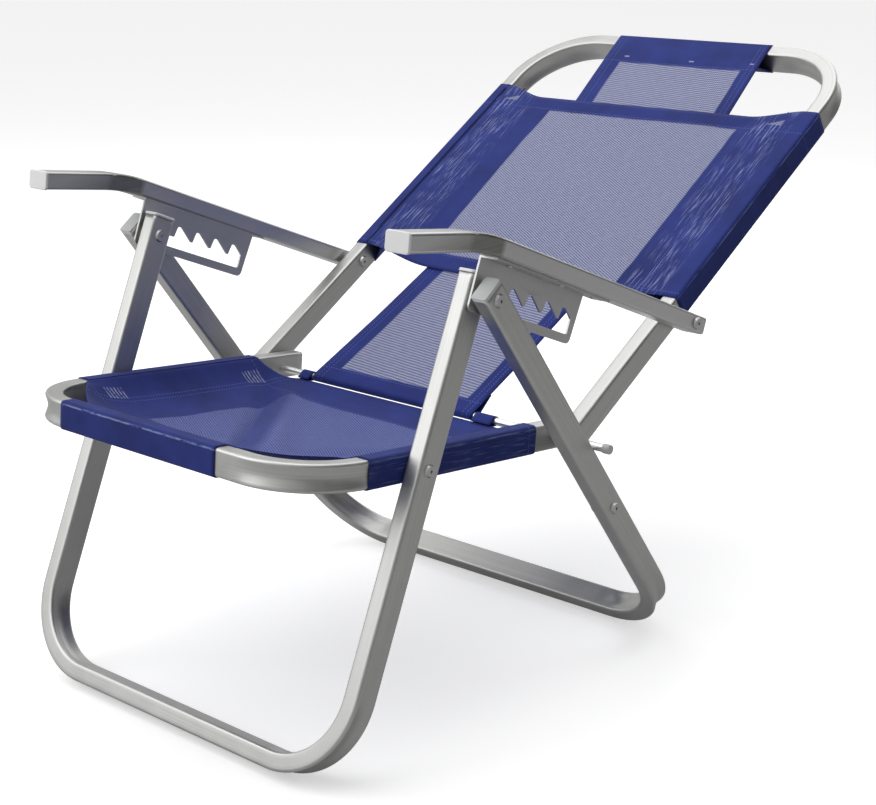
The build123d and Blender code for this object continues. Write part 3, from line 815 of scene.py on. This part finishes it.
def make_back():
    cloth = fabric(
        "back_mesh",
        zone={"half": 0.150, "middle": 0.014, "low": 0.232, "high": 0.524},
        weave=(28.0, 0.0028, PALE_THREADS),
        border={},
        hems=[("v", 0.229), ("v", 0.5275), ("u", 0.205), ("u", 0.199)],
        wedges=[(-0.228, -0.205, 0.5385, 0.012), (0.196, 0.220, 0.5385, 0.012)],
    )
    x = columns_between(0.15, BACK_EDGE, 4 * MM, 8 * MM)
    share = even(0.0, 1.0, 0.0166)
    s = panel_bottom(x) + share[:, None] * (panel_top(x) - panel_bottom(x))
    rows = panel_bottom(BACK_EDGE) + share * (panel_top(BACK_EDGE) - panel_bottom(BACK_EDGE))
    route = wrap_route((-34.0 * MM, 12.6 * MM))
    sheet = cloth_grid("sheet", BACK_PLANE, x, s, panel_height(x, s), x, s, cloth)
    sleeves = side_sleeves(BACK_PLANE, BACK_HALF, BACK_EDGE, rows, route, cloth)
    piece = join_pieces("back_fabric", [sheet, *sleeves])
    cut_width = 2 * (BACK_EDGE + float(lengths(route)[-1]))
    finish_cloth(piece, "back", "back_panel")


# ---------------------------------------------------------------- headrest band
# Sleeved over the top bar, down behind the back panel and round the hinge bar.

BAND_HALF = 130 * MM
# Along the band from the hinge bar: how far it lies to one side, and how much of its width it keeps.
BAND_LIE = ((0.0, -0.022), (0.11, -0.006), (0.205, 0.004), (0.40, 0.011), (0.55, 0.013), (0.66, 0.0),
            (0.70, -0.004))
BAND_WIDTH_SHARE = ((0.0, 1.0), (0.205, 0.955), (0.55, 0.945))


def make_band():
    cloth = fabric(
        "band_mesh",
        zone={"half": 0.103, "middle": 0.003, "low": 0.018, "high": 0.640},
        weave=(4.0, 0.0038, PALE_THREADS),
        border={},
        hems=[("v", 0.015), ("v", 0.6435), ("u", 0.1155), ("u", 0.122)],
        spots=[(-0.094, 0.653, 0.004, 0.0012), (0.019, 0.652, 0.004, 0.0012), (0.118, 0.655, 0.003, 0.0012)],
    )
    over = [(BACK_CROSS + out, height) for out, height in wrap_route((-38.0 * MM, 14.2 * MM))]
    down = [(s, band_height(s)) for s in even(0.0, BACK_CROSS - FLAT, 7 * MM)[::-1]]
    loop = arc((0.0, 0.0), BAR_WRAP, 90, 290, 16) + [(32.0 * MM, 4.2 * MM)]
    route = over[::-1] + down[1:] + polyline(loop[1:], ROUTE_STEP)
    run = lengths(route)
    s, height = np.array(route).T
    x = even(-BAND_HALF, BAND_HALF, 6 * MM)

    across = np.cos(x / BAND_HALF * math.pi / 2)
    slack = 1.2 * MM * np.sin(np.clip((s - 0.57) / 0.10, 0, 1) * math.pi)
    order = np.arange(len(route))
    free = (order >= len(over) - 1) & (order <= len(over) + len(down) - 2)
    height = height[:, None] - (slack * free)[:, None] * across
    lie = np.interp(s, *zip(*BAND_LIE))[:, None]
    width_share = np.interp(s, *zip(*BAND_WIDTH_SHARE))[:, None]
    v = BACK_CROSS - FLAT - (run - run[len(over) - 1])
    piece = cloth_grid(
        "band_fabric", BACK_PLANE, x * width_share + lie, s[:, None], height, x, v[:, None], cloth)
    finish_cloth(piece, "back", "headrest_band")


# ---------------------------------------------------------------- seat
# A slack sheet inside the rails, sleeved on the front bar and both side tubes, with two loops on
# the hinge bar.

SEAT_EDGE = SEAT_HALF - FLAT
SEAT_FRONT = SEAT_CROSS + FLAT
SLEEVE_FRONT = -62.7 * MM
SLEEVE_REAR = 197.0 * MM
CORNER = 118.0 * MM
HINGE_BAR = (240.6 * MM, -2.4 * MM)
SEAT_HEM = (HINGE_BAR[0] - 7.6 * MM, HINGE_BAR[1] - BAR_WRAP)
LOOP_TAIL = (HINGE_BAR[0] - 11.0 * MM, HINGE_BAR[1] - 3.3 * MM)
SEAT_LOOPS = ((-1, 0.1555, 0.173), (1, 0.1115, 0.140))
FRONT_SLEEVE = (-0.1415, 0.107)
SEAT_SAG = 41.0 * MM
# Creases in the slack cloth: start, end, width and height.
SEAT_CREASES = (
    ((-0.205, 0.215), (0.045, -0.075), 0.012, -6.5 * MM),
    ((-0.178, 0.225), (0.085, -0.055), 0.014, 4.5 * MM),
    ((0.205, 0.205), (0.030, -0.030), 0.014, -4.5 * MM),
    ((-0.150, -0.120), (-0.01, 0.02), 0.012, -2.2 * MM),
    ((0.150, -0.120), (0.02, 0.00), 0.012, -2.4 * MM),
    ((-0.10, -0.085), (0.12, -0.078), 0.011, -1.4 * MM),
)


def seat_front_edge(x):
    """The sheet's front edge: a straight chamfer at one corner, bowed out towards the bend at the other."""
    share = np.clip((np.abs(x) - CORNER) / (SEAT_EDGE - CORNER), 0, 1)
    bow = np.where(x > 0, 15.0 * MM, 2.0 * MM) * np.sin(share * math.pi) * (0.6 + 0.8 * share)
    return SEAT_FRONT + (SLEEVE_FRONT - SEAT_FRONT) * share - bow


def seat_rear_edge(x):
    """The sheet's rear edge: on the hinge bar in the middle, swept forward to the rails' sleeves."""
    leave = np.where(x < 0, 0.171, 0.152)
    return SEAT_HEM[0] - (SEAT_HEM[0] - SLEEVE_REAR) * smooth((np.abs(x) - leave) / (SEAT_EDGE - leave))


def eased(distance):
    """Distance from a tube's edge, starting gently so that the cloth clears the rounded edge."""
    return np.sqrt(distance ** 2 + (4.0 * MM) ** 2) - 4.0 * MM


def seat_height(x, y):
    """The sheet hangs between the rails, rises to its two free edges and is creased."""
    beside = SEAT_EDGE - np.abs(x)
    ahead = y - SEAT_FRONT
    behind = seat_rear_edge(x) - y
    side = 1 - np.exp(-eased(beside) / 0.031)
    front = 1 - np.exp(-eased(ahead) / 0.042)
    height = TOP - SEAT_SAG * side * front
    on_bar = 1 - smooth((np.abs(x) - np.where(x < 0, 0.170, 0.146)) / 0.03)
    rear = np.exp(-behind / 0.050) * on_bar
    height = height * (1 - rear) + SEAT_HEM[1] * rear
    free = np.exp(-(y - seat_front_edge(x)) / 0.020) * smooth((np.abs(x) - CORNER + 0.008) / 0.016)
    free = free * np.clip(beside / 0.012, 0, 1)
    height = height * (1 - free) + (TOP - 1.0 * MM) * free
    quiet = np.clip(beside / 0.03, 0, 1) * np.clip(ahead / 0.03, 0, 1) * np.clip(behind / 0.03, 0, 1)
    folds = sum(ridge(x, y, *crease) for crease in SEAT_CREASES)
    folds = folds + 0.35 * MM * np.sin(x / 0.017 + 2 * y / 0.05) * np.sin(y / 0.023)
    return height + folds * quiet


def seat_loops(cloth):
    """The two loops that hold the seat's rear hem to the hinge bar."""
    route = polyline([SEAT_HEM, *arc(HINGE_BAR, BAR_WRAP, -90, 125, 16), LOOP_TAIL], ROUTE_STEP)
    y, height = np.array(route)[:, :, None].transpose(1, 0, 2)
    v = SEAT_HEM[0] + lengths(route)[:, None]
    for side, near, far in SEAT_LOOPS:
        x = side * even(near, far, 5 * MM)
        yield cloth_grid("loop", SEAT_PLANE, x, y, height, x, v, cloth)


def make_seat():
    cloth = fabric(
        "seat_mesh",
        zone={"half": 0.137, "middle": 0.004, "low": -0.040, "high": 0.182,
              "folds": [((-0.165, 0.200), (0.045, -0.075), 0.016)]},
        weave=(30.0, 0.0030, BLUE_THREADS),
        border={"edge_u": 0.2335, "edge_v": -0.1548, "worn_band": (0.236, 0.262), "worn_share": 0.30},
        hems=[("v", -0.0695), ("v", 0.1855), ("u", 0.186), ("u", 0.180)],
        combs=[(0.192, -0.040, 0.008, 0.013, 0.0048), (0.192, 0.172, 0.008, 0.013, 0.0048)],
    )
    x = columns_between(CORNER, SEAT_EDGE, 2.6 * MM, 5 * MM)
    share = even(0.0, 1.0, 0.0125)
    y = seat_front_edge(x) + share[:, None] * (seat_rear_edge(x) - seat_front_edge(x))
    rows = SLEEVE_FRONT + share * (SLEEVE_REAR - SLEEVE_FRONT)
    route = wrap_route((-26.0 * MM, -4.0 * MM))
    out, height = np.array(route)[:, :, None].transpose(1, 0, 2)
    run = lengths(route)
    front_x = np.concatenate([
        even(FRONT_SLEEVE[0], -CORNER, 4 * MM)[:-1],
        even(-CORNER, FRONT_SLEEVE[1], 5 * MM),
    ])
    front_v = SEAT_FRONT - run[:, None]
    piece = join_pieces("seat_fabric", [
        cloth_grid("sheet", SEAT_PLANE, x, y, seat_height(x, y), x, y, cloth),
        *side_sleeves(SEAT_PLANE, SEAT_HALF, SEAT_EDGE, rows, route, cloth),
        cloth_grid("sleeve", SEAT_PLANE, front_x, SEAT_CROSS - out, height, front_x, front_v, cloth),
        *seat_loops(cloth),
    ])
    finish_cloth(piece, "seat", "seat_panel")


make_back()
make_band()
make_seat()
